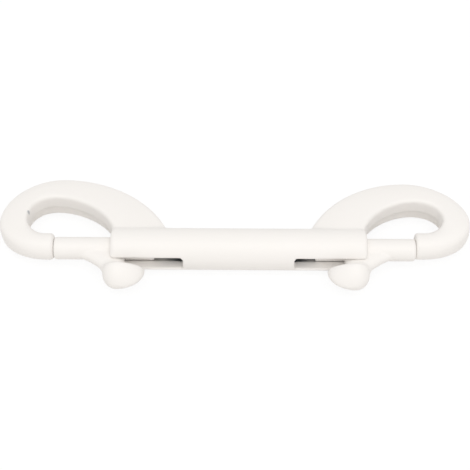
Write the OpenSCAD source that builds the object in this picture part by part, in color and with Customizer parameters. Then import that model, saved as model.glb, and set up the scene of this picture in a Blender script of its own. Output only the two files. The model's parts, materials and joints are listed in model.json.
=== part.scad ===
// Double ended bolt snap, lying on its side with the plane of its hooks level.
// One die casting forms the barrel and both hooks. A spring loaded bolt slides in
// each end of the barrel and shuts the hook in front of it against the nose.
// The two hooks were closed by bending, so each has its own reach and rise.
// All lengths are in millimetres.

/* [Barrel] */
// Outside diameter of the barrel
barrel_d = 10.2; // [9.6:0.1:12]
// Length of the barrel from mouth to mouth
barrel_length = 62.2; // [58:0.1:80]
// Radius of the rounded rim at each mouth
mouth_radius = 0.9; // [0.3:0.1:1.1]
// Thickness of the solid wall between the two bores
web_thickness = 3; // [2:0.5:5]
// Length of each slot, from the mouth to its closed end
slot_length = 17.6; // [16.9:0.1:19]
// Width of each slot
slot_width = 4; // [3.6:0.1:4.4]
// Radius of the corners at the closed end of each slot
slot_corner = 0.8; // [0.4:0.1:1.6]

/* [Hooks] */
// Length of the left eye, from the mouth to the inside of the hook
left_eye_length = 21; // [19:0.1:24]
// Length of the right eye
right_eye_length = 19.2; // [18:0.1:24]
// Height of the left eye's crown above the axis of the barrel
left_eye_height = 13.6; // [12.5:0.1:16]
// Height of the right eye's crown above the axis of the barrel
right_eye_height = 12.8; // [12.5:0.1:16]
// Distance of the left eye's crown from the mouth
left_crown = 14.5; // [10:0.1:16]
// Distance of the right eye's crown from the mouth
right_crown = 12.4; // [10:0.1:16]
// Distance of the left hook's outer crest from the mouth
left_crest = 13.3; // [9:0.1:15]
// Distance of the right hook's outer crest from the mouth
right_crest = 10.6; // [9:0.1:15]
// Width of the hook's section, measured in the plane of the hooks
hook_width = 7.1; // [6:0.1:8]
// Thickness of the hooks, measured across their plane
hook_thickness = 7.2; // [6.8:0.1:8.6]
// Radius of the edges of the hook's section
hook_edge = 0.8; // [0.6:0.1:2]
// Fall of the hook's domed faces, from their crest to their outer edges
hook_dome = 0.95; // [0:0.05:1.2]
// Draft of the hook's walls, which leaves a ridge at the parting line
hook_draft = 0.3; // [0:0.05:0.6]
// Length of the root that joins each hook to the barrel, back from the mouth
root_length = 13.3; // [10:0.1:16]

/* [Noses] */
// Diameter of the nose that the bolt shuts against
nose_d = 6.5; // [6:0.1:7.4]
// Radius of the rounded edge round the end of the left nose
left_nose_edge = 1; // [0.3:0.1:1.5]
// Radius of the rounded edge round the end of the right nose
right_nose_edge = 0.6; // [0.3:0.1:1.5]
// Gap that the left bolt spans, from the mouth to the nose
left_gate = 14; // [12:0.1:14.2]
// Gap that the right bolt spans, from the mouth to the nose
right_gate = 12.1; // [10.5:0.1:14.2]
// Height of the left nose's axis above the axis of the barrel
left_nose_lift = 0.5; // [0:0.1:1]
// Height of the right nose's axis above the axis of the barrel
right_nose_lift = 1.2; // [0:0.1:1.3]

/* [Bolts] */
// Diameter of each bolt
bolt_d = 5.5; // [5:0.1:5.8]
// Play between the bolt and its bore, on the radius
bolt_play = 0.25; // [0.1:0.05:0.35]
// Gap left between the shut bolt and the nose
gate_play = 0.3; // [0.1:0.05:0.5]
// Radius of the rounded edge at the bolt's tip
tip_edge = 0.6; // [0.2:0.1:1]
// Length of the bolt from its tip to the back of the thumb piece's neck
neck_back = 17.2; // [16.6:0.1:18]
// Length of the tail behind the neck, which the spring pushes on
tail_length = 7; // [4:0.5:7.5]
// Length of the pin that holds the spring central
pin_length = 3.5; // [2:0.5:4]

/* [Thumb pieces] */
// Length of the thumb pad along the bolt
pad_length = 10.2; // [9:0.1:12]
// Width of the thumb pad across the hooks' plane
pad_width = 7.8; // [6.8:0.1:9]
// Depth of the pad's crown below the axis of the bolt
pad_depth = 11.9; // [11:0.1:13]
// Length of the left pad behind the back of its neck
left_overhang = 5; // [4:0.1:6]
// Length of the right pad behind the back of its neck
right_overhang = 4.3; // [4:0.1:6]
// Distance that the rear tip of the pad rises towards the barrel
pad_rise = 0.6; // [0.3:0.1:1.5]
// Length of the neck's sweep, ahead of the front of the pad
neck_sweep = 5.6; // [3:0.1:7]
// Play between the neck and each side of the slot
neck_play = 0.2; // [0.1:0.05:0.3]
// Play between the pad and the barrel
pad_play = 0.5; // [0.3:0.1:0.8]

/* [Springs] */
// Diameter of the spring wire
wire_d = 0.4; // [0.3:0.05:0.45]
// Play between the spring and the bore, on the radius
spring_play = 0.8; // [0.6:0.05:0.85]
// Play between the spring and the pin inside it, on the radius
pin_play = 0.2; // [0.1:0.05:0.4]
// Number of turns in each spring
spring_turns = 11; // [8:1:12]
// Gap between each end of the spring and its seat
seat_play = 0.05; // [0.02:0.01:0.1]

/* [Hidden] */
$fn = 96;

paint = [0.95, 0.93, 0.90];
spring_steel = [0.72, 0.73, 0.75];

barrel_r = barrel_d / 2;
half_barrel = barrel_length / 2;
bolt_r = bolt_d / 2;
bore_r = bolt_r + bolt_play;
nose_r = nose_d / 2;
spring_r = bore_r - spring_play;
pin_r = spring_r - wire_d - pin_play;
neck_width = slot_width - 2 * neck_play;
// Distances from the middle of the barrel to the tips of the shut bolts
left_tip = half_barrel + left_gate - gate_play;
right_tip = half_barrel + right_gate - gate_play;

// The outlines of a hook are quarter ovals, and an oval with a fullness of 2 is an
// ellipse
front_fullness = 1.88;
eye_front_fullness = 2.15;
eye_back_fullness = 1.75;
// Heights of the centres of the ovals at the root's back, at its inside and, as a
// share of the way from the nose to the crown, at the front
back_centre = -6;
inside_centre = 2.6;
front_share = 0.34;
// Place of the crest of a hook's domed faces, from -1 at the inside to 1 at the outside
dome_crest = -0.44;
// How far the root's inside stands back from the mouth
mouth_setback = 0.3;
// Where the front of the hook straightens into the nose, inside and outside
nose_bend = 4.4;
nose_straight = 1.6;
// Height at which the root starts, inside the barrel
root_level = 2.4;

// Place of the pad's crown along it, and depths of its rims down it, as shares
crown_share = 0.4;
front_rim_share = 0.3;
side_rim_share = 0.32;
// Fullness of the pad's ends and of its flanks as they close: 2 is an ellipse
end_fullness = 2;
flank_fullness = 1.5;
// Power by which the neck sweeps out to meet the front of the pad
sweep_power = 2.5;
// The pad's plan is an egg with its blunt end to the front, and the neck's is squarer
bluntness = 0.36;
neck_squareness = 0.75;
// Square of the share of the pad's plan that is left flat at its crown
crown_flat = 0.03;

// How finely the hooks, thumb pieces and springs are divided
root_rings = 16;
crown_rings = 16;
front_rings = 14;
edge_rings = 4;
edge_points = 4;
quarter_points = 7;
egg_points = 28;
neck_rings = 7;
underside_rings = 6;
face_rings = 9;
turn_steps = 14;
wire_sides = 6;
// How far a piece that is joined to another reaches into it
overlap = 1;

// A hook is [eye length, eye height, gate, nose lift, crown, crest, nose edge]
left_hook = [left_eye_length, left_eye_height, left_gate, left_nose_lift, left_crown,
             left_crest, left_nose_edge];
right_hook = [right_eye_length, right_eye_height, right_gate, right_nose_lift, right_crown,
              right_crest, right_nose_edge];

// The part is set down with its origin under the middle of its box
left_end = half_barrel + left_eye_length + hook_width;
right_end = half_barrel + right_eye_length + hook_width;
top_edge = max(left_eye_height, right_eye_height) + hook_width;
middle = [(right_end - left_end) / 2, (top_edge - pad_depth) / 2, -barrel_r];

function mix(a, b, t) = a + (b - a) * t;
function clamp(t) = max(0, min(1, t));
function ease(t) = let (c = clamp(t)) c * c * (3 - 2 * c);
// Power of a number that keeps its sign
function signed_pow(x, p) = sign(x) * pow(abs(x), p);
function on_oval(centre, axes, angle, fullness = 2) =
    [centre[0] + axes[0] * signed_pow(cos(angle), 2 / fullness),
     centre[1] + axes[1] * signed_pow(sin(angle), 2 / fullness)];

function inner_crest(hook) = hook[4];
function outer_crest(hook) = hook[5];
// Height at which the outlines of the hook's front stand upright
function front_level(hook) = mix(hook[3] + nose_r, hook[1], front_share);
// Angle on the back of the root's oval at which it reaches a height
function back_angle(hook, height) =
    asin((height - back_centre) / (hook[1] + hook_width - back_centre));

// A station of a hook is [outer point, inner point, half thickness, dome, roundness],
// where the roundness is 0 for the full section and 1 for the round nose
function root_station(hook, angle) =
    let (
        first = back_angle(hook, root_level),
        on_barrel = cos(back_angle(hook, barrel_r)),
        climb = hook[1] + hook_width - back_centre,
        back = (outer_crest(hook) + root_length) / on_barrel,
        outer = on_oval([outer_crest(hook), back_centre], [-back, climb], angle),
        done = (angle - first) / (90 - first),
        inner = on_oval([inner_crest(hook), inside_centre],
                        [-inner_crest(hook) - mouth_setback, hook[1] - inside_centre],
                        90 * done, eye_back_fullness)
    )
    [outer, done == 0 ? [-mouth_setback, root_level] : inner,
     hook_thickness / 2, hook_dome, 0];

function crown_station(hook, t) =
    let (
        level = front_level(hook),
        angle = 90 * (1 - t)
    )
    [on_oval([outer_crest(hook), level],
             [hook[0] + hook_width - outer_crest(hook), hook[1] + hook_width - level],
             angle, front_fullness),
     on_oval([inner_crest(hook), level],
             [hook[0] - inner_crest(hook), hook[1] - level], angle, eye_front_fullness),
     hook_thickness / 2, hook_dome, 0];

function front_station(hook, t) =
    let (
        level = front_level(hook),
        inner_start = hook[0] - nose_bend,
        outer_start = hook[2] + nose_straight,
        angle = -90 * t
    )
    [on_oval([outer_start, level],
             [hook[0] + hook_width - outer_start, level - hook[3] + nose_r], angle),
     on_oval([inner_start, level],
             [hook[0] - inner_start, level - hook[3] - nose_r], angle),
     mix(hook_thickness / 2, nose_r, ease(t)), hook_dome, ease(t)];

// The rounded end of the nose, from its full size to its flat face
function nose_station(hook, t) =
    let (
        r = nose_r - hook[6] * (1 - cos(90 * t)),
        u = hook[2] + hook[6] * (1 - sin(90 * t))
    )
    [[u, hook[3] - r], [u, hook[3] + r], r, 0, 1];

function hook_stations(hook) =
    let (first = back_angle(hook, root_level))
    concat(
        [for (i = [0 : root_rings - 1]) root_station(hook, mix(first, 90, i / root_rings))],
        [for (i = [0 : crown_rings - 1]) crown_station(hook, i / crown_rings)],
        [for (i = [0 : front_rings]) front_station(hook, i / front_rings)],
        [for (i = [0 : edge_rings]) nose_station(hook, i / edge_rings)]
    );

// A point of the quarter outline of a section with round edges, from its wall to the
// middle of its face
function edged_point(half, tall, i) =
    let (angle = 90 * (i - 1) / (edge_points - 1))
    i == 0 ? [half, 0] :
    i <= edge_points ? [half - hook_edge * (1 - cos(angle)), tall - hook_edge * (1 - sin(angle))] :
    [(half - hook_edge) * (quarter_points - i) / (quarter_points - edge_points), tall];

// The quarter outline with its draft, turned round as far as it should be
function quarter(half, tall, roundness) = [
    for (i = [0 : quarter_points])
        let (
            angle = 90 * i / quarter_points,
            edged = edged_point(half, tall, i),
            drawn = [edged[0] - hook_draft * edged[1] / tall, edged[1]]
        )
        mix(i == quarter_points ? [0, tall] : drawn, [half * cos(angle), tall * sin(angle)],
            roundness)
];

// A point of a section, let down by the dome of the section's faces
function domed(point, half, station) =
    let (
        away = (point[0] / half - dome_crest) / (1 - dome_crest),
        fall = (1 - station[4]) * station[3] * away * away
    )
    [point[0], point[1] * (1 - fall / station[2])];

// A ring of points round a station, which starts at its outer point
function ring(station) =
    let (
        across = station[0] - station[1],
        half = norm(across) / 2,
        along = across / norm(across),
        centre = (station[0] + station[1]) / 2,
        q = quarter(half, station[2], station[4]),
        n = quarter_points,
        outline = concat(
            q,
            [for (i = [n - 1 : -1 : 0]) [-q[i][0], q[i][1]]],
            [for (i = [1 : n]) [-q[i][0], -q[i][1]]],
            [for (i = [n - 1 : -1 : 1]) [q[i][0], -q[i][1]]]
        )
    )
    [for (point = outline)
        let (p = domed(point, half, station))
        [centre[0] + along[0] * p[0], centre[1] + along[1] * p[0], p[1]]];

// Faces of a skin through rings of equal length, with a flat cap at each end
function skin_faces(rings, sides) = concat(
    [[for (j = [0 : sides - 1]) j]],
    [for (i = [0 : rings - 2], j = [0 : sides - 1])
        let (k = (j + 1) % sides)
        [i * sides + j, (i + 1) * sides + j, i * sides + k]],
    [for (i = [0 : rings - 2], j = [0 : sides - 1])
        let (k = (j + 1) % sides)
        [i * sides + k, (i + 1) * sides + j, (i + 1) * sides + k]],
    [[for (j = [sides - 1 : -1 : 0]) (rings - 1) * sides + j]]
);

module skin(rings) {
    polyhedron(points = [for (r = rings) each r],
               faces = skin_faces(len(rings), len(rings[0])), convexity = 6);
}

// A hook that opens towards +X, with the mouth of the barrel at the origin
module hook_shape(hook) {
    skin([for (s = hook_stations(hook)) ring(s)]);
}

module barrel_blank() {
    straight = barrel_length - 2 * mouth_radius;
    rotate([0, 90, 0])
        rotate_extrude()
            union() {
                translate([0, -half_barrel]) square([barrel_r - mouth_radius, barrel_length]);
                translate([0, -straight / 2]) square([barrel_r, straight]);
                for (end = [-1, 1])
                    translate([barrel_r - mouth_radius, end * straight / 2])
                        circle(r = mouth_radius);
            }
}

// Bore and slot of the end that faces +X
module bore_and_slot() {
    bore_start = web_thickness / 2;
    slot_start = half_barrel - slot_length;
    corner = slot_width / 2 - slot_corner;
    translate([bore_start, 0, 0])
        rotate([0, 90, 0])
            cylinder(r = bore_r, h = half_barrel - bore_start + overlap);
    rotate([90, 0, 0])
        linear_extrude(barrel_r + overlap)
            union() {
                translate([slot_start + slot_corner, -slot_width / 2])
                    square([slot_length + overlap, slot_width]);
                translate([slot_start, -corner]) square([slot_length, 2 * corner]);
                for (side = [-1, 1])
                    translate([slot_start + slot_corner, side * corner]) circle(r = slot_corner);
            }
}

module cast_body() {
    color(paint)
        translate(-middle)
            difference() {
                union() {
                    barrel_blank();
                    translate([half_barrel, 0, 0]) hook_shape(right_hook);
                    mirror([1, 0, 0]) translate([half_barrel, 0, 0]) hook_shape(left_hook);
                }
                bore_and_slot();
                mirror([1, 0, 0]) bore_and_slot();
            }
}

// Places along a thumb piece are measured back from the tip of its bolt, and its depths
// are measured from the bolt's axis. The pad is widest at its rim, which lies deepest
// at the front.
pad_top = barrel_r + pad_play;
front_rim = mix(pad_top, pad_depth, front_rim_share);
side_rim = mix(pad_top, pad_depth, side_rim_share);
rear_rim = front_rim - pad_rise;
// How far the pad's underside has spread, and its face has closed, at a depth
function spread(depth, rim) = ease((depth - pad_top) / (rim - pad_top));
function closing(depth, rim, fullness = end_fullness) =
    let (t = clamp((depth - rim) / (pad_depth - rim)))
    pow(1 - (1 - crown_flat) * pow(t, fullness), 1 / fullness);

function crown_place(overhang) = neck_back + overhang - pad_length * (1 - crown_share);
function front_at(depth, overhang) =
    let (
        left_over = clamp((front_rim - depth) / (front_rim - bolt_r)),
        pad_front = neck_back + overhang - pad_length
    )
    mix(crown_place(overhang), pad_front - neck_sweep * pow(left_over, sweep_power),
        closing(depth, front_rim));
function back_at(depth, overhang) =
    mix(crown_place(overhang), neck_back + overhang * spread(depth, rear_rim),
        closing(depth, rear_rim));
function half_width_at(depth) =
    mix(neck_width, pad_width, spread(depth, side_rim)) / 2
    * closing(depth, side_rim, flank_fullness);

// Outline of the thumb piece at a depth
function egg(depth, tip_x, overhang) =
    let (
        half = (back_at(depth, overhang) - front_at(depth, overhang)) / 2,
        mid = (back_at(depth, overhang) + front_at(depth, overhang)) / 2,
        blunt = bluntness * spread(depth, side_rim),
        power = mix(neck_squareness, 1, spread(depth, side_rim))
    )
    [for (i = [0 : egg_points - 1])
        let (
            angle = 360 * i / egg_points,
            x = signed_pow(cos(angle), power),
            z = signed_pow(sin(angle), power) * (1 - blunt * cos(angle))
        )
        [tip_x - mid - half * x, -depth, -half_width_at(depth) * z]];

pad_depths = concat(
    [for (i = [0 : neck_rings - 1]) mix(bolt_r - overlap, pad_top, i / neck_rings)],
    [for (i = [0 : underside_rings - 1])
        mix(pad_top, side_rim, 1 - cos(90 * i / underside_rings))],
    [for (i = [0 : face_rings]) mix(side_rim, pad_depth, sin(90 * i / face_rings))]
);

// A bolt that points towards +X, with its tip at tip_x
module bolt_shape(tip_x, overhang) {
    body_length = neck_back + tail_length;
    translate([tip_x, 0, 0])
        rotate([0, -90, 0])
            rotate_extrude()
                union() {
                    translate([0, tip_edge]) square([bolt_r, body_length - tip_edge]);
                    square([bolt_r - tip_edge, body_length]);
                    translate([bolt_r - tip_edge, tip_edge]) circle(r = tip_edge);
                    translate([0, body_length - overlap])
                        square([pin_r, pin_length + overlap]);
                }
    skin([for (depth = pad_depths) egg(depth, tip_x, overhang)]);
}

module left_bolt() {
    color(paint)
        translate(-middle) mirror([1, 0, 0]) bolt_shape(left_tip, left_overhang);
}

module right_bolt() {
    color(paint)
        translate(-middle) bolt_shape(right_tip, right_overhang);
}

// A compression spring from the web to the tail of a bolt that points to +X.
// Its first and last turns are closed.
module spring_shape(tip_x) {
    coil_r = spring_r - wire_d / 2;
    first = web_thickness / 2 + seat_play + wire_d / 2;
    last = tip_x - neck_back - tail_length - seat_play - wire_d / 2;
    pitch = (last - first - 2 * wire_d) / (spring_turns - 2);
    skin([for (i = [0 : spring_turns * turn_steps])
        let (
            turn = i / turn_steps,
            angle = 360 * turn,
            closed = min(turn, 1) + max(turn - spring_turns + 1, 0),
            x = first + closed * wire_d + min(max(turn - 1, 0), spring_turns - 2) * pitch
        )
        [for (j = [0 : wire_sides - 1])
            let (
                around = 360 * j / wire_sides,
                r = coil_r + wire_d / 2 * cos(around)
            )
            [x - wire_d / 2 * sin(around), r * cos(angle), r * sin(angle)]]]);
}

module left_spring() {
    color(spring_steel)
        translate(-middle) mirror([1, 0, 0]) spring_shape(left_tip);
}

module right_spring() {
    color(spring_steel)
        translate(-middle) spring_shape(right_tip);
}

cast_body();
left_bolt();
right_bolt();
left_spring();
right_spring();
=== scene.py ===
"""Looks of a double ended bolt snap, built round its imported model.

The snap lies on its side on a pale surface. One zinc casting is its barrel and both hooks,
and a sprung bolt with a thumb piece slides in each end of the barrel. Lengths in this file
are in millimetres, and each finished mesh is written in metres.
"""

from __future__ import annotations

import json
import logging
from dataclasses import dataclass
from enum import Enum
from typing import Any

import bmesh
import bpy
import numpy as np
from mathutils import Matrix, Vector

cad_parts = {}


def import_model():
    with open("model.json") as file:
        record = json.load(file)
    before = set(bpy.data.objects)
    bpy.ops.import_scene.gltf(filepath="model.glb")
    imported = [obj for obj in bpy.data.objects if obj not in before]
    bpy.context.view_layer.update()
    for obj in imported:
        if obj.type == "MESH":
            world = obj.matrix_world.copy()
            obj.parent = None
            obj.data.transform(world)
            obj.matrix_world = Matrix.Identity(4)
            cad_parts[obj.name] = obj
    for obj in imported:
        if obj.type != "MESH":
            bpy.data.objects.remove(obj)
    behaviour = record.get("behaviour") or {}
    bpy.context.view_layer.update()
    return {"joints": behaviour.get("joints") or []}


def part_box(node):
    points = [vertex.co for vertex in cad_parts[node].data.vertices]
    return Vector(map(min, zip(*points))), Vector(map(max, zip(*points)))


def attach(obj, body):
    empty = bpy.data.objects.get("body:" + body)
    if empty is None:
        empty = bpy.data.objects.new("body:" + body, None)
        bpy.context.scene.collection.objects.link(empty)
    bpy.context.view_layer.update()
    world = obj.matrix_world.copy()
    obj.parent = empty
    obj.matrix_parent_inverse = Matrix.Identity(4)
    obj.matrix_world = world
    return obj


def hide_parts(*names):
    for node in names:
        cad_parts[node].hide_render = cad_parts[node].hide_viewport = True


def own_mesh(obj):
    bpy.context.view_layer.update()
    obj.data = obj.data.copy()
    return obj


MM = 0.001
QUARTER_TURN = np.pi / 2.0
ARC_POINTS = 9

# A Mix node's sockets by number, because several of them share a name.
SHARE = 0
FIRST_NUMBER, SECOND_NUMBER, MIXED_NUMBER = 2, 3, 0
FIRST_COLOUR, SECOND_COLOUR, MIXED_COLOUR = 6, 7, 2

Values = np.ndarray | float
Sections = tuple[np.ndarray, np.ndarray, np.ndarray, np.ndarray]
log = logging.getLogger("bolt_snap")


class End(Enum):
    """An end of the barrel, as its direction along X."""

    LEFT = -1.0
    RIGHT = 1.0

    @property
    def side(self) -> str:
        """The word for this end in the names of pieces, bodies and joints."""
        return self.name.lower()


class Meeting(Enum):
    """What a solid does to another that it meets."""

    JOINS = "UNION"
    CUTS = "DIFFERENCE"


@dataclass(frozen=True)
class Place:
    """Middle of the barrel's axis in the shared frame, in millimetres."""

    x: float
    y: float
    z: float

    def settle(self, points: np.ndarray, end: End) -> np.ndarray:
        """Mirrors points that face +X where their end faces -X, and moves them there.

        Args:
            points: Points whose last axis is (along the barrel, towards the hooks, up).
            end: The end of the barrel that they belong to.

        Returns:
            The points in the shared frame, in millimetres.
        """
        return points * (end.value, 1.0, 1.0) + (self.x, self.y, self.z)


def ease(t: Values) -> Values:
    """A smooth step from 0 to 1: 3 t squared less 2 t cubed, held at both ends."""
    held = np.clip(t, 0.0, 1.0)
    return held * held * (3.0 - 2.0 * held)


def nearness(distance: Values, reach: float) -> Values:
    """A smooth fall from 1, which it keeps up to half the reach, to 0 at the reach."""
    return ease(2.0 * (1.0 - distance / reach))


def blend(a: Values, b: Values, t: Values) -> Values:
    """The value that is the share t of the way from a to b."""
    return a + (b - a) * t


def signed_power(values: np.ndarray, power: Values) -> np.ndarray:
    """The power of each value's size, with the value's own sign."""
    return np.sign(values) * np.abs(values) ** power


def oval(
    centre: tuple[float, float],
    axes: tuple[float, float],
    angle: np.ndarray,
    fullness: float = 2.0,
) -> np.ndarray:
    """Points on an oval: centre plus axes times cosine and sine to the power 2 / fullness.

    Args:
        centre: Middle of the oval.
        axes: Its half axes, which may be negative.
        angle: Angles of the points, in radians.
        fullness: 2 for an ellipse, and more for a squarer oval.

    Returns:
        One point for each angle.
    """
    power = 2.0 / fullness
    return np.stack(
        (
            centre[0] + axes[0] * signed_power(np.cos(angle), power),
            centre[1] + axes[1] * signed_power(np.sin(angle), power),
        ),
        axis=-1,
    )


def arc(
    centre: tuple[float, float], radius: float, start: float, stop: float
) -> np.ndarray:
    """Points of a round arc: its centre plus its radius times cosine and sine.

    Args:
        centre: Middle of the arc, as (along, radius).
        radius: The arc's own radius.
        start: Angle of the first point, in degrees.
        stop: Angle of the last point, in degrees.

    Returns:
        Evenly spaced points from the first angle to the last.
    """
    angle = np.radians(np.linspace(start, stop, ARC_POINTS))
    return oval(centre, (radius, radius), angle)


def revolve(profile: np.ndarray, sides: int) -> np.ndarray:
    """Rings of a profile turned about the X axis.

    Each point becomes (along, radius times cosine, radius times sine) at every angle.

    Args:
        profile: Points as (along, radius).
        sides: Number of angles in a full turn.

    Returns:
        An array of ring, side and (x, y, z).
    """
    angle = np.linspace(0.0, 2.0 * np.pi, sides, endpoint=False)
    along = np.repeat(profile[:, :1], sides, axis=1)
    radius = profile[:, 1:]
    return np.stack((along, radius * np.cos(angle), radius * np.sin(angle)), axis=-1)


def put_in_scene(name: str, data: bpy.types.ID) -> bpy.types.Object:
    """Makes an object of a mesh, camera or lamp, and links it to the scene.

    Args:
        name: Name of the object.
        data: The mesh, camera or lamp.

    Returns:
        The object.
    """
    thing = bpy.data.objects.new(name, data)
    bpy.context.scene.collection.objects.link(thing)
    return thing


def skin_faces(rings: int, sides: int) -> list[list[int]]:
    """Faces of a skin over rings of points, with a flat cap on each end.

    The quad at ring i and side j joins points j and j + 1 of ring i to those of ring i + 1.

    Args:
        rings: Number of rings.
        sides: Number of points in each ring.

    Returns:
        The numbers of each face's points.
    """
    ring, side = np.meshgrid(np.arange(rings - 1), np.arange(sides), indexing="ij")
    after = (side + 1) % sides
    quads = np.stack(
        (
            ring * sides + side,
            ring * sides + after,
            (ring + 1) * sides + after,
            (ring + 1) * sides + side,
        ),
        axis=-1,
    ).reshape(-1, 4)
    first = np.arange(sides)[::-1]
    last = (rings - 1) * sides + np.arange(sides)
    return quads.tolist() + [first.tolist(), last.tolist()]


def skin(name: str, rings: np.ndarray) -> bpy.types.Object:
    """Makes a closed skin over rings of points, with its faces outwards.

    Args:
        name: Name of the object.
        rings: Points as an array of ring, side and (x, y, z).

    Returns:
        The object, linked to the scene.
    """
    mesh = bpy.data.meshes.new(name)
    mesh.from_pydata(rings.reshape(-1, 3), [], skin_faces(*rings.shape[:2]))
    shell = bmesh.new()
    shell.from_mesh(mesh)
    bmesh.ops.recalc_face_normals(shell, faces=shell.faces)
    shell.to_mesh(mesh)
    shell.free()
    return put_in_scene(name, mesh)


def drop(piece: bpy.types.Object) -> None:
    """Removes a solid that was only needed while another was made.

    Args:
        piece: The solid, which goes with its mesh.
    """
    mesh = piece.data
    bpy.data.objects.remove(piece)
    bpy.data.meshes.remove(mesh)


def fuse(
    name: str,
    base: bpy.types.Object,
    others: list[tuple[bpy.types.Object, Meeting]],
    grain: float,
) -> bpy.types.Object:
    """Fuses solids into one piece, whose surface is divided into small even faces.

    Args:
        name: Name of the finished piece.
        base: The solid that the others meet.
        others: Each further solid, and whether it joins the base or cuts it.
        grain: Size of the even faces.

    Returns:
        The piece in millimetres. The solids that it was made of are removed.
    """
    for tool, meeting in others:
        step = base.modifiers.new(meeting.name.lower(), "BOOLEAN")
        step.object = tool
        step.operation = meeting.value
        step.solver = "EXACT"
    even = base.modifiers.new("even_faces", "REMESH")
    even.mode = "VOXEL"
    even.voxel_size = grain
    bpy.context.view_layer.update()
    graph = bpy.context.evaluated_depsgraph_get()
    mesh = bpy.data.meshes.new_from_object(base.evaluated_get(graph))
    mesh.name = name
    piece = put_in_scene(name, mesh)
    for solid in [base, *[tool for tool, _ in others]]:
        drop(solid)
    return piece


def vectors_of(mesh: bpy.types.Mesh, kind: str = "co") -> np.ndarray:
    """The place or the normal of every vertex of a mesh.

    Args:
        mesh: The mesh.
        kind: co for the places and normal for the normals.

    Returns:
        One row for each vertex.
    """
    flat = np.empty(len(mesh.vertices) * 3, np.float32)
    mesh.vertices.foreach_get(kind, flat)
    return flat.reshape(-1, 3).astype(float)


def shade_smooth(mesh: bpy.types.Mesh) -> None:
    """Lets the light run smoothly across the edges of every face."""
    mesh.polygons.foreach_set("use_smooth", np.ones(len(mesh.polygons), bool))


def finish_casting(
    mesh: bpy.types.Mesh, radius: Values, fillet: Values, grain: float, rounds: int
) -> None:
    """Gives a fused piece the small radii that a mould and its coating leave.

    Each point moves towards the mean of its neighbours in every round. The spread that
    this gives grows as the root of the rounds, and so the share of the way that a point
    moves is its radius over the grain, squared, over the number of rounds. Where the move
    is outwards, the point lies in a hollow, and the fillet stands in for the radius.

    Args:
        mesh: The fused piece's mesh in millimetres, which is written back in metres.
        radius: Spread of the softening at edges, for each point or for all.
        fillet: Spread of the softening in hollows, for each point or for all.
        grain: Size of the piece's faces.
        rounds: How often the points are moved.
    """
    points, normals = vectors_of(mesh), vectors_of(mesh, "normal")
    ends = np.empty(len(mesh.edges) * 2, np.int32)
    mesh.edges.foreach_get("vertices", ends)
    one, other = ends.reshape(-1, 2).T
    start, stop = np.concatenate((one, other)), np.concatenate((other, one))
    count = len(points)
    neighbours = np.bincount(start, minlength=count)[:, None]
    for _ in range(rounds):
        total = np.stack(
            [np.bincount(start, points[stop, axis], count) for axis in range(3)], axis=-1
        )
        move = total / neighbours - points
        spread = np.where(np.sum(move * normals, axis=1) > 0.0, fillet, radius)
        points += (spread[:, None] / grain) ** 2 / rounds * move
    mesh.vertices.foreach_set("co", (points * MM).astype(np.float32).ravel())
    shade_smooth(mesh)
    mesh.update()


def paint_attribute(mesh: bpy.types.Mesh, name: str, values: np.ndarray) -> None:
    """Stores one number for each vertex of a mesh, which its material reads."""
    layer = mesh.attributes.new(name, "FLOAT", "POINT")
    layer.data.foreach_set("value", values.astype(np.float32))


def linear(hex_colour: str) -> tuple[float, float, float, float]:
    """Turns a colour such as #F5F0EA to linear light, by the two parts of sRGB's curve.

    Args:
        hex_colour: The colour in sRGB.

    Returns:
        Red, green, blue and an alpha of 1.
    """
    shares = np.array([int(hex_colour[i : i + 2], 16) for i in (1, 3, 5)]) / 255.0
    low = shares / 12.92
    high = ((shares + 0.055) / 1.055) ** 2.4
    return (*np.where(shares <= 0.04045, low, high).tolist(), 1.0)


def empty_tree(owner: bpy.types.Material | bpy.types.World) -> bpy.types.NodeTree:
    """Turns on the nodes of a material or world, and removes those it starts with.

    Args:
        owner: The material or world.

    Returns:
        Its node tree, with no nodes.
    """
    owner.use_nodes = True
    owner.node_tree.nodes.clear()
    return owner.node_tree


def add_node(
    tree: bpy.types.NodeTree,
    kind: str,
    inputs: dict[str | int, Any] | None = None,
    **settings: Any,
) -> bpy.types.bpy_prop_collection:
    """Adds a node with its settings, and sets or links its inputs.

    Args:
        tree: The node tree.
        kind: The node's type name.
        inputs: Value or output socket for each input, by its name or number.
        **settings: Properties of the node itself.

    Returns:
        The new node's outputs.
    """
    node = tree.nodes.new(kind)
    for name, value in settings.items():
        setattr(node, name, value)
    for key, value in (inputs or {}).items():
        if isinstance(value, bpy.types.NodeSocket):
            tree.links.new(value, node.inputs[key])
        else:
            node.inputs[key].default_value = value
    return node.outputs


def per_metre(size: float) -> float:
    """Scale of a pattern on coordinates in metres, from its size in millimetres."""
    return 1.0 / (size * MM)


@dataclass(frozen=True)
class Finish:
    """A finish, as a Principled shader whose patterns lie on Object coordinates."""

    name: str

    def make(self) -> bpy.types.Material:
        """Builds the material.

        Returns:
            The material.
        """
        material = bpy.data.materials.new(self.name)
        tree = empty_tree(material)
        place = add_node(tree, "ShaderNodeTexCoord")["Object"]
        shader = add_node(tree, "ShaderNodeBsdfPrincipled", self.inputs(tree, place))
        add_node(tree, "ShaderNodeOutputMaterial", {"Surface": shader["BSDF"]})
        return material

    def inputs(
        self, tree: bpy.types.NodeTree, place: bpy.types.NodeSocket
    ) -> dict[str | int, Any]:
        """Adds the finish's patterns, and gives the shader's inputs.

        Args:
            tree: The material's nodes.
            place: Object coordinates, in metres.

        Returns:
            A value or a socket for each input that the finish sets.
        """
        raise NotImplementedError


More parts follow.
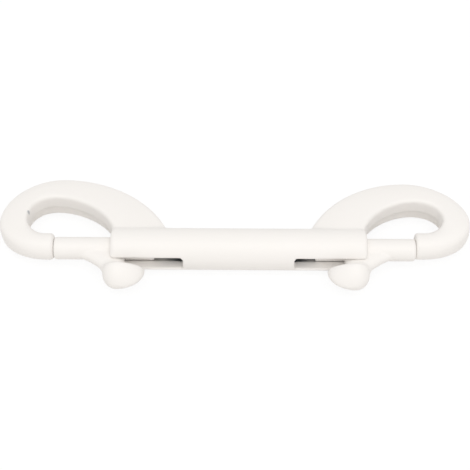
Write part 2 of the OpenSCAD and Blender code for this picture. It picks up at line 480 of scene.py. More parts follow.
@dataclass(frozen=True)
class PowderCoat(Finish):
    """Polyester powder coat, sprayed dry and baked, over die cast zinc.

    It gives a satin off-white with a slight orange peel. Deep in the bores, where the
    powder doesn't reach, and where the coat is chipped, the grey casting shows. The grit
    is drawn coarser than the real powder's, so that it shows.
    """

    name: str = "white_powder_coat_on_die_cast_zinc"
    colour: str = "#F7F4F1"
    thin_colour: str = "#F4F1ED"
    zinc_colour: str = "#B9BCBF"
    gloss_roughness: float = 0.44
    matt_roughness: float = 0.54
    zinc_roughness: float = 0.42
    cloud_size: float = 16.0
    cloud_detail: float = 3.0
    peel_size: float = 1.3
    peel_detail: float = 1.0
    peel_depth: float = 0.006
    peel_strength: float = 0.8
    grit_size: float = 0.22
    grit_detail: float = 2.0
    grit_depth: float = 0.0012
    grit_strength: float = 0.6

    def inputs(
        self, tree: bpy.types.NodeTree, place: bpy.types.NodeSocket
    ) -> dict[str | int, Any]:
        """Mixes the coat with bare zinc by each piece's own attribute bare.

        Args:
            tree: The material's nodes.
            place: Object coordinates, in metres.

        Returns:
            A value or a socket for each input that the finish sets.
        """
        bare = add_node(tree, "ShaderNodeAttribute", attribute_name="bare")["Fac"]
        cloud, peel, grit = (
            add_node(
                tree,
                "ShaderNodeTexNoise",
                {"Vector": place, "Scale": per_metre(size), "Detail": detail},
            )["Fac"]
            for size, detail in (
                (self.cloud_size, self.cloud_detail),
                (self.peel_size, self.peel_detail),
                (self.grit_size, self.grit_detail),
            )
        )
        coat = add_node(
            tree,
            "ShaderNodeMix",
            {
                SHARE: cloud,
                FIRST_COLOUR: linear(self.thin_colour),
                SECOND_COLOUR: linear(self.colour),
            },
            data_type="RGBA",
        )[MIXED_COLOUR]
        colour = add_node(
            tree,
            "ShaderNodeMix",
            {SHARE: bare, FIRST_COLOUR: coat, SECOND_COLOUR: linear(self.zinc_colour)},
            data_type="RGBA",
        )[MIXED_COLOUR]
        gloss = add_node(
            tree,
            "ShaderNodeMapRange",
            {"Value": peel, "To Min": self.gloss_roughness, "To Max": self.matt_roughness},
        )["Result"]
        roughness = add_node(
            tree,
            "ShaderNodeMix",
            {SHARE: bare, FIRST_NUMBER: gloss, SECOND_NUMBER: self.zinc_roughness},
        )[MIXED_NUMBER]
        rough = add_node(
            tree,
            "ShaderNodeBump",
            {
                "Strength": self.grit_strength,
                "Distance": self.grit_depth * MM,
                "Height": grit,
            },
        )["Normal"]
        surface = add_node(
            tree,
            "ShaderNodeBump",
            {
                "Strength": self.peel_strength,
                "Distance": self.peel_depth * MM,
                "Height": peel,
                "Normal": rough,
            },
        )["Normal"]
        return {
            "Base Color": colour,
            "Metallic": bare,
            "Roughness": roughness,
            "Normal": surface,
        }


@dataclass(frozen=True)
class SpringSteel(Finish):
    """Hard drawn carbon steel spring wire, zinc plated.

    The plating gives a pale grey sheen, with duller stains.
    """

    name: str = "zinc_plated_spring_steel"
    colour: str = "#B4B6B8"
    dull_colour: str = "#8F9194"
    bright_roughness: float = 0.28
    dull_roughness: float = 0.45
    stain_size: float = 1.5
    stain_detail: float = 4.0

    def inputs(
        self, tree: bpy.types.NodeTree, place: bpy.types.NodeSocket
    ) -> dict[str | int, Any]:
        """Mixes the bright plating with its stains.

        Args:
            tree: The material's nodes.
            place: Object coordinates, in metres.

        Returns:
            A value or a socket for each input that the finish sets.
        """
        stain = add_node(
            tree,
            "ShaderNodeTexNoise",
            {
                "Vector": place,
                "Scale": per_metre(self.stain_size),
                "Detail": self.stain_detail,
            },
        )["Fac"]
        colour = add_node(
            tree,
            "ShaderNodeMix",
            {
                SHARE: stain,
                FIRST_COLOUR: linear(self.dull_colour),
                SECOND_COLOUR: linear(self.colour),
            },
            data_type="RGBA",
        )[MIXED_COLOUR]
        roughness = add_node(
            tree,
            "ShaderNodeMapRange",
            {
                "Value": stain,
                "To Min": self.dull_roughness,
                "To Max": self.bright_roughness,
            },
        )["Result"]
        return {"Base Color": colour, "Metallic": 1.0, "Roughness": roughness}


@dataclass
class Barrel:
    """The tube between the hooks, which the two bolts slide in.

    The coat narrows its bores and slots by its own thickness on each side. The tools that
    cut them run past its surface by the overrun.
    """

    diameter: float = 10.2
    length: float = 62.2
    mouth_radius: float = 0.9
    web: float = 3.0
    bore: float = 6.0
    slot_length: float = 17.6
    slot_width: float = 4.0
    slot_corner: float = 0.8
    coat: float = 0.09
    overrun: float = 1.0
    sides: int = 160

    @property
    def radius(self) -> float:
        """Half of the barrel's diameter."""
        return self.diameter / 2.0

    @property
    def half(self) -> float:
        """Distance from the middle of the barrel to its mouths."""
        return self.length / 2.0

    def blank(self, place: Place) -> bpy.types.Object:
        """The barrel before it is bored: a rod whose rims are quarter rounds.

        Args:
            place: The middle of the barrel.

        Returns:
            The rod as a closed skin.
        """
        corner = self.radius - self.mouth_radius
        shoulder = self.half - self.mouth_radius
        profile = np.vstack(
            (
                arc((-shoulder, corner), self.mouth_radius, 180.0, 90.0),
                arc((shoulder, corner), self.mouth_radius, 90.0, 0.0),
            )
        )
        return skin("barrel_blank", place.settle(revolve(profile, self.sides), End.RIGHT))

    def bore_tool(self, place: Place, end: End) -> bpy.types.Object:
        """The round tool that bores one end, from the web out past the mouth.

        Args:
            place: The middle of the barrel.
            end: The end that it bores.

        Returns:
            The tool as a closed skin.
        """
        radius = self.bore / 2.0 - self.coat
        past = self.half + self.overrun
        profile = np.array([(self.web / 2.0, radius), (past, radius)])
        return skin("bore_tool", place.settle(revolve(profile, self.sides), end))

    def slot_tool(self, place: Place, end: End) -> bpy.types.Object:
        """The flat tool that cuts one slot, from the axis down through the wall.

        Its outline is a rectangle whose two corners at the closed end are quarter rounds.

        Args:
            place: The middle of the barrel.
            end: The end that it cuts.

        Returns:
            The tool as a closed skin.
        """
        wide = self.slot_width / 2.0 - self.coat
        closed = self.half - self.slot_length
        past = self.half + self.overrun
        turn = (closed + self.slot_corner, wide - self.slot_corner)
        upper = arc(turn, self.slot_corner, 90.0, 180.0)
        outline = np.vstack(((past, wide), upper, upper[::-1] * (1.0, -1.0), (past, -wide)))
        depth = np.array([0.0, -self.radius - self.overrun])
        rings = np.stack(
            (
                np.tile(outline[:, 0], (2, 1)),
                np.tile(depth[:, None], (1, len(outline))),
                np.tile(outline[:, 1], (2, 1)),
            ),
            axis=-1,
        )
        return skin("slot_tool", place.settle(rings, end))


@dataclass
class Hook:
    """One hook, which rises from the barrel and comes round to a nose before its mouth.

    Distances are measured out from the barrel's mouth and up from its axis. The inside of
    the eye is highest at the crown, and the outside of the hook at the crest. On the inside
    the two halves of the mould leave a step between them at the parting line.

    The hook is made in four stretches. Each gives its sections' outer points, inner points,
    half thicknesses and roundnesses, which are 0 for a full section and 1 for an ellipse.
    """

    end: End
    eye_length: float
    eye_height: float
    gate: float
    nose_lift: float
    crown: float
    crest: float
    nose_edge: float
    width: float = 7.1
    thickness: float = 7.2
    edge: float = 0.8
    dome: float = 0.95
    dome_crest: float = -0.44
    draft: float = 0.3
    mismatch: float = 0.4
    wall_shares: tuple[float, ...] = (0.0, 0.02, 0.33, 0.67)
    root_length: float = 13.3
    nose_diameter: float = 6.5
    front_fullness: float = 1.88
    eye_front_fullness: float = 2.15
    eye_back_fullness: float = 1.75
    back_centre: float = -6.0
    inside_centre: float = 2.6
    front_share: float = 0.34
    mouth_setback: float = 0.3
    nose_bend: float = 4.4
    nose_straight: float = 1.6
    root_level: float = 2.4
    rings: int = 48

    @property
    def nose_radius(self) -> float:
        """Half of the nose's diameter."""
        return self.nose_diameter / 2.0

    @property
    def reach(self) -> float:
        """Distance from the barrel's mouth to the far side of the hook."""
        return self.eye_length + self.width

    @property
    def top(self) -> float:
        """Height of the hook's crest above the barrel's axis."""
        return self.eye_height + self.width

    @property
    def front_level(self) -> float:
        """Height at which the outlines of the hook's front stand upright."""
        return blend(self.nose_lift + self.nose_radius, self.eye_height, self.front_share)

    def root(self, barrel: Barrel) -> Sections:
        """Sections from inside the barrel up to the crown, between two quarter ovals.

        The outer oval is long enough to land on the barrel at the root's length.

        Args:
            barrel: The barrel that the hook rises from.

        Returns:
            Outer points, inner points, half thicknesses and roundnesses.
        """
        climb = self.top - self.back_centre
        first = np.arcsin((self.root_level - self.back_centre) / climb)
        landing = np.arcsin((barrel.radius - self.back_centre) / climb)
        back = (self.crest + self.root_length) / np.cos(landing)
        done = np.linspace(0.0, 1.0, self.rings, endpoint=False)
        angle = blend(first, QUARTER_TURN, done)
        outer = oval((self.crest, self.back_centre), (-back, climb), angle)
        inner = oval(
            (self.crown, self.inside_centre),
            (-self.crown - self.mouth_setback, self.eye_height - self.inside_centre),
            done * QUARTER_TURN,
            self.eye_back_fullness,
        )
        inner[0] = (-self.mouth_setback, self.root_level)
        return outer, inner, np.full(self.rings, self.thickness / 2.0), np.zeros(self.rings)

    def bow(self) -> Sections:
        """Sections over the crown, down to where the front of the hook is upright.

        The outer and inner outlines are quarter ovals, each with its own fullness.

        Returns:
            Outer points, inner points, half thicknesses and roundnesses.
        """
        level = self.front_level
        angle = np.linspace(QUARTER_TURN, 0.0, self.rings, endpoint=False)
        outer = oval(
            (self.crest, level),
            (self.reach - self.crest, self.top - level),
            angle,
            self.front_fullness,
        )
        inner = oval(
            (self.crown, level),
            (self.eye_length - self.crown, self.eye_height - level),
            angle,
            self.eye_front_fullness,
        )
        return outer, inner, np.full(self.rings, self.thickness / 2.0), np.zeros(self.rings)

    def front(self) -> Sections:
        """Sections from the upright front round to the nose, on two quarter ellipses.

        They turn from flat to round by a smooth step.

        Returns:
            Outer points, inner points, half thicknesses and roundnesses.
        """
        level = self.front_level
        share = np.linspace(0.0, 1.0, self.rings)
        angle = -share * QUARTER_TURN
        outer_start = self.gate + self.nose_straight
        inner_start = self.eye_length - self.nose_bend
        low, high = self.nose_lift - self.nose_radius, self.nose_lift + self.nose_radius
        outer = oval((outer_start, level), (self.reach - outer_start, level - low), angle)
        inner = oval((inner_start, level), (self.nose_bend, level - high), angle)
        tall = blend(self.thickness / 2.0, self.nose_radius, ease(share))
        return outer, inner, tall, ease(share)

    def nose(self) -> Sections:
        """Sections of the nose's rounded edge: a quarter round, down to the flat end.

        Returns:
            Outer points, inner points, half thicknesses and roundnesses.
        """
        angle = np.linspace(0.0, QUARTER_TURN, ARC_POINTS)
        radius = self.nose_radius - self.nose_edge * (1.0 - np.cos(angle))
        along = self.gate + self.nose_edge * (1.0 - np.sin(angle))
        outer = np.stack((along, self.nose_lift - radius), axis=-1)
        inner = np.stack((along, self.nose_lift + radius), axis=-1)
        return outer, inner, radius, np.ones_like(radius)

    def section(
        self, half: np.ndarray, tall: np.ndarray, roundness: np.ndarray
    ) -> np.ndarray:
        """Outline of each section: drafted walls, round edges and domed faces.

        A quarter of it is mirrored both ways. The faces then fall by the dome, as the
        square of the distance from the dome's crest.

        Args:
            half: Half width of each section, in the plane of the hooks.
            tall: Half thickness of each section.
            roundness: 0 for the full section and 1 for an ellipse.

        Returns:
            An array of section, point and (across, up).
        """
        half, tall, roundness = (v[:, None] for v in (half, tall, roundness))
        quarter = self._quarter(half, tall, roundness)
        outline = np.concatenate(
            (
                quarter,
                quarter[:, -2::-1] * (-1.0, 1.0),
                quarter[:, 1:] * (-1.0, -1.0),
                quarter[:, -2:0:-1] * (1.0, -1.0),
            ),
            axis=1,
        )
        away = (outline[..., 0] / half - self.dome_crest) / (1.0 - self.dome_crest)
        outline[..., 1] *= 1.0 - (1.0 - roundness) * self.dome / tall * away**2
        return outline

    def _quarter(
        self, half: np.ndarray, tall: np.ndarray, roundness: np.ndarray
    ) -> np.ndarray:
        """A quarter of each section, from the parting line round to the top of its face.

        It is a wall that leans back from the parting line by the draft, an arc and a face,
        mixed with a quarter ellipse by the roundness.

        Args:
            half: Half width of each section, as a column.
            tall: Half thickness of each section, as a column.
            roundness: Roundness of each section, as a column.

        Returns:
            An array of section, point and (across, up).
        """
        wall = np.array(self.wall_shares) * (tall - self.edge)
        angle = np.linspace(0.0, QUARTER_TURN, ARC_POINTS)
        bend_out = self.edge * (1.0 - np.cos(angle))
        bend_up = self.edge * (1.0 - np.sin(angle))
        face = np.linspace(1.0, 0.0, ARC_POINTS)[1:] * (half - self.edge)
        across = np.hstack((np.broadcast_to(half, wall.shape), half - bend_out, face))
        up = np.hstack((wall, tall - bend_up, np.broadcast_to(tall, face.shape)))
        drawn = across - self.draft * up / tall * (across > 0.0)
        turn = np.linspace(0.0, QUARTER_TURN, across.shape[1])
        return np.stack(
            (
                blend(drawn, half * np.cos(turn), roundness),
                blend(up, tall * np.sin(turn), roundness),
            ),
            axis=-1,
        )

    def solid(self, barrel: Barrel, place: Place) -> bpy.types.Object:
        """The hook as a skin, each section laid from its inner to its outer point.

        The inner half of each outline moves by half of the mismatch, one way above the
        parting line and the other way below it.

        Args:
            barrel: The barrel that the hook rises from.
            place: The middle of the barrel.

        Returns:
            The hook, from inside the barrel round to the nose.
        """
        parts = (self.root(barrel), self.bow(), self.front(), self.nose())
        outer, inner, tall, roundness = (np.concatenate(v) for v in zip(*parts))
        span = outer - inner
        width = np.linalg.norm(span, axis=1)
        outline = self.section(width / 2.0, tall, roundness)
        direction = (span / width[:, None])[:, None, :]
        centre = ((outer + inner) / 2.0)[:, None, :]
        half_step = self.mismatch / 2.0 * np.where(outline[..., 1] < 0.0, 1.0, -1.0)
        step = half_step * (outline[..., 0] < 0.0) * (1.0 - roundness[:, None])
        flat = centre + direction * (outline[..., 0] + step)[..., None]
        rings = np.concatenate((flat, outline[..., 1:]), axis=-1) + (barrel.half, 0.0, 0.0)
        return skin(f"{self.end.side}_hook", place.settle(rings, self.end))


@dataclass
class Casting:
    """The barrel and both hooks, which are cast as one piece.

    Its edges are softened by the edge radius, and by the smaller sharp radius along the
    hooks' parting line, round the ends of the noses and at the slots. Its hollows are
    filled by the fillet, and more where the root of a hook runs out on the barrel.
    """

    barrel: Barrel
    hooks: tuple[Hook, Hook]
    grain: float = 0.275
    rounds: int = 40
    edge_radius: float = 0.38
    sharp_radius: float = 0.1
    parting_reach: float = 1.0
    slot_reach: float = 1.0
    gate_reach: float = 1.5
    fillet: float = 0.5
    run_out_fillet: float = 1.3
    run_out_reach: float = 6.0
    powder_reach: float = 12.5
    powder_fade: float = 4.5
    chip: tuple[float, float, float] = (-52.15, 9.05, 2.7)
    chip_size: tuple[float, float, float] = (0.35, 0.5, 0.75)
    chip_reach: float = 4.0 / 3.0

    def build(self, place: Place) -> bpy.types.Object:
        """Joins the barrel and hooks, cuts the bores and slots, and softens the edges.

        Args:
            place: The middle of the barrel.

        Returns:
            The casting in metres, with its bare metal marked.
        """
        others = [(hook.solid(self.barrel, place), Meeting.JOINS) for hook in self.hooks]
        for end in End:
            others.append((self.barrel.bore_tool(place, end), Meeting.CUTS))
            others.append((self.barrel.slot_tool(place, end), Meeting.CUTS))
        piece = fuse("casting", self.barrel.blank(place), others, self.grain)
        local = vectors_of(piece.data) - (place.x, place.y, place.z)
        radius, fillet = self._radii(local)
        finish_casting(piece.data, radius, fillet, self.grain, self.rounds)
        paint_attribute(piece.data, "bare", self._bareness(local))
        return piece

    def _radii(self, local: np.ndarray) -> tuple[np.ndarray, np.ndarray]:
        """How far each point's surroundings are softened.

        The edge radius falls smoothly to the sharp one near the parting line, the gates
        and the slots, and the fillet grows smoothly near the foot of each root.

        Args:
            local: The points, from the middle of the barrel.

        Returns:
            The softening at edges and in hollows, for each point.
        """
        along, out, up = local.T
        above = ease(out - self.barrel.radius)
        on_hook = ease(np.abs(along) - self.barrel.half) * above
        parting = on_hook * nearness(np.abs(up), self.parting_reach)
        radius = blend(self.edge_radius, self.sharp_radius, parting)
        for hook in self.hooks:
            to_gate = np.abs(hook.end.value * along - self.barrel.half - hook.gate)
            on_nose = np.abs(out - hook.nose_lift) < hook.nose_diameter
            at_gate = nearness(to_gate, self.gate_reach) * on_nose
            radius = blend(radius, self.sharp_radius, at_gate)
        aside = np.abs(up) - self.barrel.slot_width / 2.0
        past = self.barrel.half - self.barrel.slot_length - np.abs(along)
        beside = np.hypot(np.maximum(aside, 0.0), np.maximum(past, 0.0))
        at_slot = nearness(beside, self.slot_reach) * (out < 0.0)
        radius = blend(radius, self.sharp_radius, at_slot)
        fillet = blend(self.fillet, self.sharp_radius, np.maximum(at_slot, parting))
        for hook in self.hooks:
            foot = hook.end.value * (self.barrel.half - hook.root_length)
            gap = np.hypot(along - foot, out - self.barrel.radius)
            fillet = blend(fillet, self.run_out_fillet, nearness(gap, self.run_out_reach))
        return radius, fillet

    def _bareness(self, local: np.ndarray) -> np.ndarray:
        """How bare the metal is: deep in the bores, past the powder, and at one chip.

        It rises by a smooth step past the powder's reach. It falls smoothly from the
        middle of the chip, by the distance in units of the chip's size.

        Args:
            local: The points, from the middle of the barrel.

        Returns:
            0 for each coated point, up to 1 for each bare one.
        """
        radius = np.hypot(local[:, 1], local[:, 2])
        depth = self.barrel.half - np.abs(local[:, 0])
        in_bore = radius < self.barrel.bore / 2.0
        unreached = in_bore * ease((depth - self.powder_reach) / self.powder_fade)
        to_chip = np.linalg.norm((local - self.chip) / self.chip_size, axis=1)
        return np.maximum(unreached, nearness(to_chip, self.chip_reach))


@dataclass
class Bolt:
    """A sliding bolt with its thumb piece, cast as one.

    Distances along it are measured back from its tip, and depths down from its axis. Its
    pad reaches behind the neck by the overhang.
    """

    end: End
    gate: float
    overhang: float
    diameter: float = 5.5
    gate_play: float = 0.3
    tip_rise: float = 0.25
    tip_edge: float = 0.6
    neck_back: float = 17.2
    neck_start: float = 1.75
    tail_length: float = 7.0
    pin_diameter: float = 3.2
    pin_length: float = 3.5
    pad_length: float = 10.2
    pad_width: float = 7.8
    pad_depth: float = 11.9
    pad_rise: float = 0.6
    pad_top: float = 5.6
    neck_sweep: float = 5.6
    neck_width: float = 3.6
    crown_share: float = 0.4
    front_rim_share: float = 0.3
    side_rim_share: float = 0.32
    end_fullness: float = 2.0
    flank_fullness: float = 1.5
    sweep_power: float = 1.7
    bluntness: float = 0.36
    neck_squareness: float = 0.75
    front_squareness: float = 0.9
    crown_flat: float = 0.03
    sides: int = 96
    neck_rings: int = 24
    pad_rings: int = 40
    grain: float = 0.17
    rounds: int = 180
    edge_radius: float = 0.3
    fillet: float = 0.4
    pin_fillet: float = 0.08
    pin_reach: float = 1.0
    pad_fillet: float = 3.2
    pad_fillet_depths: tuple[float, float] = (5.2, 6.2)
    pad_fillet_fade: float = 2.0

    @property
    def pad_back(self) -> float:
        """Distance from the tip to the rear end of the pad."""
        return self.neck_back + self.overhang

    @property
    def pad_front(self) -> float:
        """Distance from the tip to the front end of the pad."""
        return self.pad_back - self.pad_length

    @property
    def pad_crown(self) -> float:
        """Distance from the tip to the lowest point of the pad."""
        return blend(self.pad_front, self.pad_back, self.crown_share)

    def tip(self, barrel: Barrel) -> float:
        """Distance from the middle of the barrel to the tip of the shut bolt."""
        return barrel.half + self.gate - self.gate_play

    def tail(self, barrel: Barrel) -> float:
        """Distance from the middle of the barrel to the end of the tail."""
        return self.tip(barrel) - self.neck_back - self.tail_length

    def rod(self) -> np.ndarray:
        """Profile of the rod: a flat tip with a rounded edge, a tail and a pin.

        The coat on the tip brings it a little nearer to the nose than the bare casting.

        Returns:
            Points as (along, radius), from the tip back to the end of the pin.
        """
        radius, pin = self.diameter / 2.0, self.pin_diameter / 2.0
        length = self.neck_back + self.tail_length
        end = length + self.pin_length
        face = self.tip_edge - self.tip_rise
        tip = arc((face, radius - self.tip_edge), self.tip_edge, 180.0, 90.0)
        rest = np.array([(length, radius), (length, pin), (end, pin)])
        return np.vstack((tip, rest)) * (-1.0, 1.0)

    def thumb_rings(self) -> np.ndarray:
        """Rings of the thumb piece, from inside the rod down to the pad's crown.

        At each depth the outline is an egg: its half length times the cosine, and its half
        width times the sine, which is fuller at the front. The neck sweeps forward as a
        power of the height above the pad, and the pad's underside spreads by a smooth step
        to its rim. Below the rim the ends close as a quarter ellipse, and the flanks are
        flatter and meet in a keel.

        Returns:
            An array of ring, side and (x, y, z).
        """
        side_rim = blend(self.pad_top, self.pad_depth, self.side_rim_share)
        front_rim = blend(self.pad_top, self.pad_depth, self.front_rim_share)
        rear_rim = front_rim - self.pad_rise
        quarter = np.linspace(0.0, QUARTER_TURN, self.pad_rings)
        depth = np.concatenate(
            (
                np.linspace(self.neck_start, self.pad_top, self.neck_rings, endpoint=False),
                blend(self.pad_top, side_rim, 1.0 - np.cos(quarter[:-1])),
                blend(side_rim, self.pad_depth, np.sin(quarter)),
            )
        )
        height_left = (front_rim - depth) / (front_rim - self.diameter / 2.0)
        swept = self.neck_sweep * np.clip(height_left, 0.0, 1.0) ** self.sweep_power
        at_front = self._closing(depth, front_rim, self.end_fullness)
        front = blend(self.pad_crown, self.pad_front - swept, at_front)
        reach = blend(self.neck_back, self.pad_back, self._spread(depth, rear_rim))
        at_back = self._closing(depth, rear_rim, self.end_fullness)
        back = blend(self.pad_crown, reach, at_back)
        spread = self._spread(depth, side_rim)
        wide = blend(self.neck_width, self.pad_width, spread) / 2.0
        wide = (wide * self._closing(depth, side_rim, self.flank_fullness))[:, None]
        angle = np.linspace(0.0, 2.0 * np.pi, self.sides, endpoint=False)
        square = np.where(np.cos(angle) > 0.0, self.neck_squareness, self.front_squareness)
        power = blend(square, 1.0, spread[:, None])
        blunt = 1.0 - self.bluntness * spread[:, None] * np.cos(angle)
        middle, half = (back + front)[:, None] / 2.0, (back - front)[:, None] / 2.0
        along = middle + half * signed_power(np.cos(angle), power)
        across = wide * signed_power(np.sin(angle), power) * blunt
        down = np.broadcast_to(-depth[:, None], along.shape)
        return np.stack((-along, down, across), axis=-1)

    def _spread(self, depth: np.ndarray, rim: float) -> np.ndarray:
        """The pad's spread at each depth: a smooth step from its top to its rim."""
        return ease((depth - self.pad_top) / (rim - self.pad_top))

    def _closing(self, depth: np.ndarray, rim: float, fullness: float) -> np.ndarray:
        """The share of the pad's plan that is left below its rim, as a quarter oval."""
        share = np.clip((depth - rim) / (self.pad_depth - rim), 0.0, 1.0)
        return (1.0 - (1.0 - self.crown_flat) * share**fullness) ** (1.0 / fullness)

    def _fillets(self, points: np.ndarray, barrel: Barrel, place: Place) -> np.ndarray:
        """How far the hollows are filled, most of all where the neck meets the pad's front.

        Little is filled where the neck slides in the slot, and less where the spring's end
        turn sits round the pin. Smooth steps lead from one to the next.

        Args:
            points: The bolt's points in the shared frame.
            barrel: The barrel that it slides in.
            place: The middle of the barrel.

        Returns:
            The softening in hollows, for each point.
        """
        back = self.tip(barrel) - self.end.value * (points[:, 0] - place.x)
        near, far = self.pad_fillet_depths
        beyond = ease((place.y - points[:, 1] - near) / (far - near))
        ahead = ease((self.pad_crown - back) / self.pad_fillet_fade)
        at_pin = ease(back - self.neck_back - self.tail_length + self.pin_reach)
        fillet = blend(self.fillet, self.pad_fillet, beyond * ahead)
        return blend(fillet, self.pin_fillet, at_pin)

    def build(self, barrel: Barrel, place: Place) -> bpy.types.Object:
        """Joins the rod and the thumb piece, and softens their edges.

        Args:
            barrel: The barrel that the bolt slides in.
            place: The middle of the barrel.

        Returns:
            The shut bolt in metres, coated all over.
        """
        shift = (self.tip(barrel), 0.0, 0.0)
        rod = skin("rod", place.settle(revolve(self.rod(), self.sides) + shift, self.end))
        thumb = skin("thumb", place.settle(self.thumb_rings() + shift, self.end))
        name = f"{self.end.side}_bolt_casting"
        piece = fuse(name, rod, [(thumb, Meeting.JOINS)], self.grain)
        fillet = self._fillets(vectors_of(piece.data), barrel, place)
        finish_casting(piece.data, self.edge_radius, fillet, self.grain, self.rounds)
        paint_attribute(piece.data, "bare", np.zeros(len(piece.data.vertices)))
        return piece


@dataclass
class Spring:
    """A compression spring between the web and the tail of its bolt.

    Its coil is the mean diameter of the turns.
    """

    end: End
    wire: float = 0.4
    coil: float = 4.0
    turns: int = 11
    seat_play: float = 0.05
    steps: int = 40
    sides: int = 12

    def build(self, barrel: Barrel, bolt: Bolt, place: Place) -> bpy.types.Object:
        """Carries a circle of wire along a helix whose first and last turns are closed.

        The helix climbs by one wire in each closed turn and by an even pitch between them.

        Args:
            barrel: The barrel, whose web is one seat.
            bolt: The bolt, whose tail is the other seat.
            place: The middle of the barrel.

        Returns:
            The spring of the shut bolt, in metres.
        """
        radius, wire = self.coil / 2.0, self.wire / 2.0
        first = barrel.web / 2.0 + self.seat_play + wire
        last = bolt.tail(barrel) - self.seat_play - wire
        pitch = (last - first - 2.0 * self.wire) / (self.turns - 2)
        turn = np.linspace(0.0, self.turns, self.turns * self.steps + 1)[:, None]
        closed = np.minimum(turn, 1.0) + np.maximum(turn - self.turns + 1, 0.0)
        open_turns = np.clip(turn - 1.0, 0.0, self.turns - 2)
        climb = first + closed * self.wire + open_turns * pitch
        angle = 2.0 * np.pi * turn
        around = np.linspace(0.0, 2.0 * np.pi, self.sides, endpoint=False)
        reach = radius + wire * np.cos(around)
        rings = np.stack(
            (climb + wire * np.sin(around), reach * np.cos(angle), reach * np.sin(angle)),
            axis=-1,
        )
        piece = skin(f"{self.end.side}_coil", place.settle(rings, self.end) * MM)
        shade_smooth(piece.data)
        return piece

    def length(self, barrel: Barrel, bolt: Bolt) -> float:
        """Distance between the spring's two seats when the bolt is shut."""
        return bolt.tail(barrel) - barrel.web / 2.0


@dataclass
class BoltSnap:
    """The whole snap, with the settings of its moving pieces."""

    barrel: Barrel
    left: tuple[Hook, Bolt, Spring]
    right: tuple[Hook, Bolt, Spring]

    def place(self) -> Place:
        """The barrel's middle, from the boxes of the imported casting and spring.

        Returns:
            The middle of the barrel's axis.
        """
        low, high = np.array(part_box("cast_body")) / MM
        spring_low, spring_high = np.array(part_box("left_spring")) / MM
        middle_x = low[0] + self.left[0].reach + self.barrel.half
        middle_y = (spring_low[1] + spring_high[1]) / 2.0
        return Place(middle_x, middle_y, (low[2] + high[2]) / 2.0)

    def build(self, joints: list[dict[str, Any]]) -> None:
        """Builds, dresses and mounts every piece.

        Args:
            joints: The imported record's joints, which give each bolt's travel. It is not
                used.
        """
        place = self.place()
        coat, wire = PowderCoat().make(), SpringSteel().make()
        body = Casting(self.barrel, (self.left[0], self.right[0])).build(place)
        self._mount(body, coat, "body", "cast_body", "painted_casting")
        for _, bolt, spring in (self.left, self.right):
            side = bolt.end.side
            slider = bolt.build(self.barrel, place)
            self._mount(slider, coat, f"{side}_slider", f"{side}_bolt", "painted_bolt")
            coil = spring.build(self.barrel, bolt, place)
            self._mount(coil, wire, "body", f"{side}_spring", "spring_wire")
            length = spring.length(self.barrel, bolt)
            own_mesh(coil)

    @staticmethod
    def _mount(
        piece: bpy.types.Object, finish: bpy.types.Material, body: str, node: str, slot: str
    ) -> None:
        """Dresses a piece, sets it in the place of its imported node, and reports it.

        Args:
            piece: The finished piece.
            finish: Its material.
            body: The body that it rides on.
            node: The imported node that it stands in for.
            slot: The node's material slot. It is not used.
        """
        piece.data.materials.append(finish)
        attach(piece, body)
        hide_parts(node)
        log.info("%s: %d faces, on %s", piece.name, len(piece.data.polygons), body)


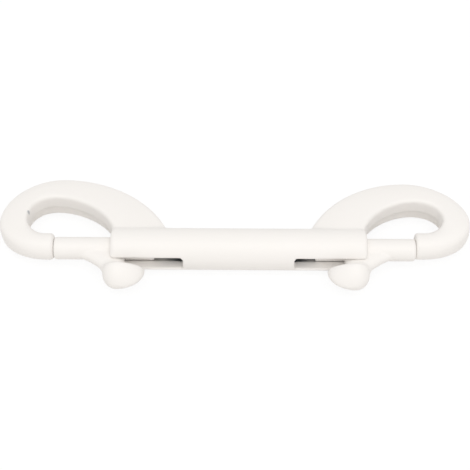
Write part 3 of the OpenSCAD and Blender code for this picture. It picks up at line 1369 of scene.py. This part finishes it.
@dataclass
class Studio:
    """A pale table, soft light from the front and above, and the photograph's camera.

    Angles are in degrees. The camera's clip distances are in metres, and its focal length
    and the image's width are in pixels.
    """

    elevation: float = 50.0
    roll: float = 0.35
    distance: float = 285.0
    focal_pixels: float = 1165.0
    image_pixels: float = 470.0
    sensor: float = 36.0
    clip: tuple[float, float] = (0.01, 20.0)
    shift_right: float = -0.881
    shift_up: float = 3.474
    floor_size: float = 6000.0
    floor_bounce: str = "#F0EEEC"
    floor_shade: str = "#696969"
    floor_glow: float = 0.88
    white: str = "#FFFFFF"
    sky: float = 0.71
    lamp_elevation: float = 68.0
    lamp_azimuth: float = 8.0
    lamp_distance: float = 700.0
    lamp_size: float = 620.0
    lamp_power: float = 2.0
    lamp_colour: tuple[float, float, float] = (1.0, 0.975, 0.945)

    def build(self, place: Place) -> None:
        """Makes the camera, the floor, the lamp and the world.

        Args:
            place: The middle of the barrel, which the camera and the lamp stand round.
        """
        self._camera(place)
        self._floor()
        self._lamp(place)
        self._world()
        bpy.context.scene.view_settings.view_transform = "Standard"

    def _camera(self, place: Place) -> None:
        """Sets the camera where the photograph's edges line up with the model's.

        It stands back from the barrel along its own line of sight, shifted to its own
        right and up, and it is rolled about that line.

        Args:
            place: The middle of the barrel.
        """
        tilt, roll = np.radians(self.elevation), np.radians(self.roll)
        level, rise = np.array((1.0, 0.0, 0.0)), np.array((0.0, np.sin(tilt), np.cos(tilt)))
        back = np.array((0.0, -np.cos(tilt), np.sin(tilt)))
        right = np.cos(roll) * level + np.sin(roll) * rise
        above = np.cos(roll) * rise - np.sin(roll) * level
        spot = np.array((place.x, place.y, place.z)) + self.distance * back
        spot += self.shift_right * right + self.shift_up * above
        lens = bpy.data.cameras.new("camera")
        lens.sensor_width = self.sensor
        lens.lens = self.sensor * self.focal_pixels / self.image_pixels
        lens.clip_start, lens.clip_end = self.clip
        camera = put_in_scene("camera", lens)
        self._stand(camera, right, above, back, spot)
        bpy.context.scene.camera = camera

    def _floor(self) -> None:
        """Makes the table, which looks white and keeps a faint shadow of the snap.

        It lights the snap as a pale card. What the camera sees of it is a dark grey card,
        which takes the shadow, with an even glow added.
        """
        half = self.floor_size / 2.0 * MM
        corners = [
            (-half, -half, 0.0),
            (half, -half, 0.0),
            (half, half, 0.0),
            (-half, half, 0.0),
        ]
        mesh = bpy.data.meshes.new("table")
        mesh.from_pydata(corners, [], [[0, 1, 2, 3]])
        material = bpy.data.materials.new("matt_white_card")
        tree = empty_tree(material)
        bounce, shade = (
            add_node(tree, "ShaderNodeBsdfDiffuse", {"Color": linear(colour)})[0]
            for colour in (self.floor_bounce, self.floor_shade)
        )
        glow = add_node(
            tree,
            "ShaderNodeEmission",
            {"Color": linear(self.white), "Strength": self.floor_glow},
        )[0]
        white = add_node(tree, "ShaderNodeAddShader", {0: shade, 1: glow})[0]
        surface = add_node(
            tree, "ShaderNodeMixShader", {0: self._seen(tree), 1: bounce, 2: white}
        )[0]
        add_node(tree, "ShaderNodeOutputMaterial", {"Surface": surface})
        mesh.materials.append(material)
        floor = put_in_scene("table", mesh)

    def _lamp(self, place: Place) -> None:
        """Hangs one large soft lamp above and in front of the snap, which it faces.

        It stands off by its distance, in the direction of its elevation and azimuth.

        Args:
            place: The middle of the barrel.
        """
        high, aside = np.radians(self.lamp_elevation), np.radians(self.lamp_azimuth)
        right = np.array((np.cos(aside), np.sin(aside), 0.0))
        out = np.array(
            (np.sin(aside) * np.cos(high), -np.cos(aside) * np.cos(high), np.sin(high))
        )
        light = bpy.data.lights.new("softbox", "AREA")
        light.shape = "SQUARE"
        light.size = self.lamp_size * MM
        light.energy = self.lamp_power
        light.color = self.lamp_colour
        lamp = put_in_scene("softbox", light)
        spot = np.array((place.x, 0.0, place.z)) + out * self.lamp_distance
        self._stand(lamp, right, np.cross(out, right), out, spot)

    def _world(self) -> None:
        """Lights the snap evenly from all round, and looks white behind it."""
        world = bpy.data.worlds.new("light_tent")
        tree = empty_tree(world)
        strength = add_node(
            tree,
            "ShaderNodeMapRange",
            {"Value": self._seen(tree), "To Min": self.sky, "To Max": 1.0},
        )["Result"]
        light = add_node(
            tree,
            "ShaderNodeBackground",
            {"Color": linear(self.white), "Strength": strength},
        )[0]
        add_node(tree, "ShaderNodeOutputWorld", {"Surface": light})
        bpy.context.scene.world = world

    @staticmethod
    def _seen(tree: bpy.types.NodeTree) -> bpy.types.NodeSocket:
        """Tells what the camera sees, also in a reflection or through glass.

        Args:
            tree: The nodes of a material or the world.

        Returns:
            1 for those rays and 0 for the rest, as the largest of three flags.
        """
        path = add_node(tree, "ShaderNodeLightPath")
        seen = path["Is Camera Ray"]
        for ray in ("Is Glossy Ray", "Is Transmission Ray"):
            inputs = {0: seen, 1: path[ray]}
            seen = add_node(tree, "ShaderNodeMath", inputs, operation="MAXIMUM")[0]
        return seen

    @staticmethod
    def _stand(
        thing: bpy.types.Object,
        right: np.ndarray,
        above: np.ndarray,
        back: np.ndarray,
        spot: np.ndarray,
    ) -> None:
        """Sets a camera or lamp in its place.

        Args:
            thing: The camera or lamp.
            right: Direction of its own X axis.
            above: Direction of its own Y axis.
            back: Direction of its own Z axis, away from what it faces.
            spot: Where it stands, in millimetres.
        """
        pose = np.eye(4)
        pose[:3] = np.column_stack((right, above, back, spot * MM))
        thing.matrix_world = Matrix(pose.tolist())


def main() -> None:
    """Builds the snap and its studio."""
    logging.basicConfig(level=logging.INFO, format="%(name)s: %(message)s")
    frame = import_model()
    left_hook = Hook(
        End.LEFT,
        eye_length=21.0,
        eye_height=13.6,
        gate=14.0,
        nose_lift=0.5,
        crown=14.5,
        crest=13.3,
        nose_edge=1.0,
    )
    right_hook = Hook(
        End.RIGHT,
        eye_length=19.2,
        eye_height=12.8,
        gate=12.1,
        nose_lift=1.2,
        crown=12.4,
        crest=10.6,
        nose_edge=0.6,
    )
    left_bolt = Bolt(End.LEFT, left_hook.gate, overhang=5.0)
    right_bolt = Bolt(End.RIGHT, right_hook.gate, overhang=4.3)
    snap = BoltSnap(
        barrel=Barrel(),
        left=(left_hook, left_bolt, Spring(End.LEFT)),
        right=(right_hook, right_bolt, Spring(End.RIGHT)),
    )
    snap.build(frame["joints"])
    Studio().build(snap.place())


if __name__ == "__main__":
    main()
